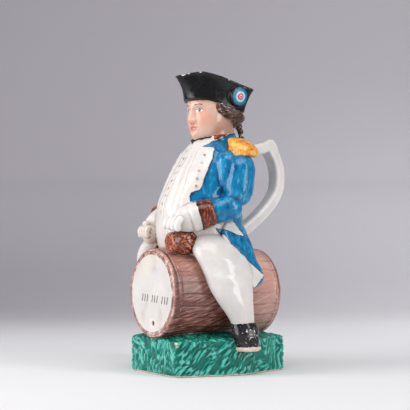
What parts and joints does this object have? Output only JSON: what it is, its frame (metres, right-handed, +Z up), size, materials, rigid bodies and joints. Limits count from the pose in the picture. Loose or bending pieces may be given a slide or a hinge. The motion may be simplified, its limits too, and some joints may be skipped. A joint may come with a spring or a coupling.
{
  "type": "toby jug",
  "caption": "Hollow glazed earthenware jug shaped as a seated soldier astride a barrel on a low plinth, open at the hat, with a strap handle at the back.",
  "frame": {"origin": "centre of the plinth's flat underside", "axes": "+Z up; the figure faces -Y; its left hand is on +X; the handle is on +Y"},
  "size_m": [0.147, 0.1627, 0.2977],
  "materials": {
    "glaze": "gloss white tin glaze, painted"
  },
  "bodies": {
    "root": {"jug": "glaze"}
  },
  "joints": []
}
